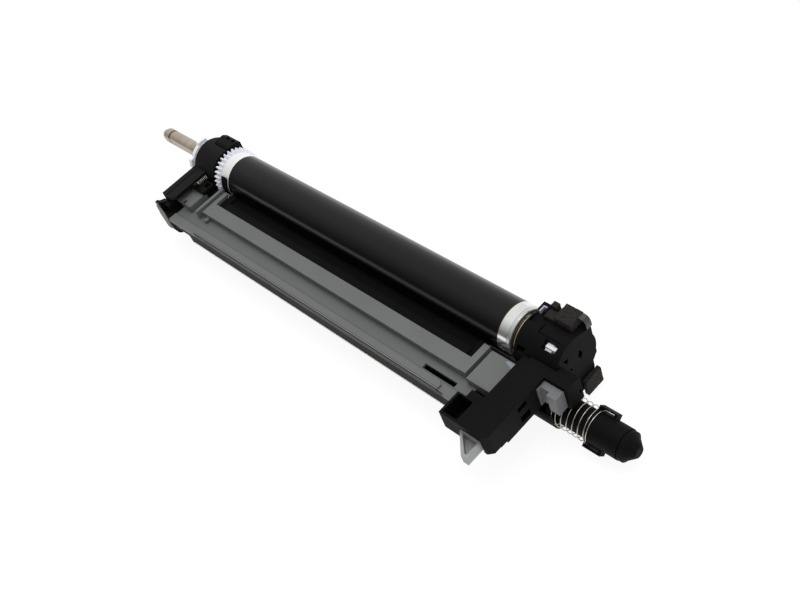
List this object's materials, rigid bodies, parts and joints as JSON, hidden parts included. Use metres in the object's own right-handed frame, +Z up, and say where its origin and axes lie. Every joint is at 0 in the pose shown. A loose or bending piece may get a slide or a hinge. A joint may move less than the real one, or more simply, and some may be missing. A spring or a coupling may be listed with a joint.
{
  "type": "printer drum unit",
  "caption": "Long photoconductor drum unit with drive shaft, drum gear, grey cleaner housing, black end frames, sprung waste outlet and small levers.",
  "frame": {"origin": "on the drum axis, at the drive hub's outer face where the bare drive shaft begins", "axes": "+X along the drum axis from the drive shaft to the waste outlet, +Z up, the cleaner housing on the -Y side"},
  "size_m": [0.4271, 0.0931, 0.0519],
  "materials": {
    "drum_coat": "glossy black coat on an aluminium tube",
    "white_plastic": "satin moulded",
    "black_plastic": "satin moulded",
    "grey_plastic": "fine textured moulded",
    "steel": "turned",
    "blade_rubber": "smooth",
    "felt": "felt",
    "film": "thin film",
    "foam": "open-cell sponge"
  },
  "bodies": {
    "frame": {"cleaner_housing": "grey_plastic", "lower_casing": "black_plastic", "front_contact_strip": "steel", "blade_bracket": "steel", "cleaning_blade": "blade_rubber", "far_seal": "felt", "near_seal": "felt", "recovery_film": "film", "far_end_frame": "black_plastic", "far_bush": "white_plastic", "gear_cover": "black_plastic", "near_end_frame": "black_plastic", "bearing_housing": "black_plastic", "bearing_retainer": "white_plastic", "near_bush": "white_plastic", "waste_pipe": "black_plastic", "pipe_end_cap": "black_plastic", "shutter_spring": "steel", "release_pin": "steel", "lever_pin": "steel", "lever_spring": "steel", "foam_block_large": "foam", "foam_block_small": "foam", "foam_block_side": "foam", "foam_block_low": "foam"},
    "drum": {"drum_tube": "drum_coat", "gear_flange": "white_plastic", "near_flange": "black_plastic", "drum_shaft": "steel", "drive_hub": "white_plastic"},
    "auger": {"waste_auger": "black_plastic", "auger_gear": "white_plastic"},
    "shutter": {"shutter_sleeve": "black_plastic"},
    "button": {"lock_button": "grey_plastic"},
    "front_lever": {"release_lever": "grey_plastic"},
    "far_lever": {"spring_lever": "black_plastic"}
  },
  "joints": [
    {"name": "drum_spin", "type": "hinge", "parent": "frame", "child": "drum", "pos_m": [0, 0, 0], "axis": [1, 0, 0], "continuous": true},
    {"name": "auger_spin", "type": "hinge", "parent": "frame", "child": "auger", "pos_m": [0, -0.017, -0.02046], "axis": [1, 0, 0], "continuous": true},
    {"name": "shutter_slide", "type": "slide", "parent": "frame", "child": "shutter", "axis": [-1, 0, 0], "range_m": [0, 0.011], "stiffness_N_per_m": 150, "springref_m": -0.008, "deforming": ["shutter_spring"]},
    {"name": "button_slide", "type": "slide", "parent": "frame", "child": "button", "axis": [-1, 0, 0], "range_m": [0, 0.003], "stiffness_N_per_m": 400, "springref_m": -0.002},
    {"name": "front_lever_swing", "type": "hinge", "parent": "frame", "child": "front_lever", "pos_m": [0.312, -0.0617, -0.0023], "axis": [1, 0, 0], "range_deg": [0, 15], "stiffness_Nm_per_rad": 0.02, "springref_deg": -11.46},
    {"name": "far_lever_swing", "type": "hinge", "parent": "frame", "child": "far_lever", "pos_m": [0.024, -0.0256, 0.0019], "axis": [1, 0, 0], "range_deg": [0, 8], "stiffness_Nm_per_rad": 0.01, "springref_deg": -11.46, "deforming": ["lever_spring"]}
  ],
  "couplings": [
    {"joint": "auger_spin", "follows": "drum_spin", "ratio": -1.5238}
  ]
}
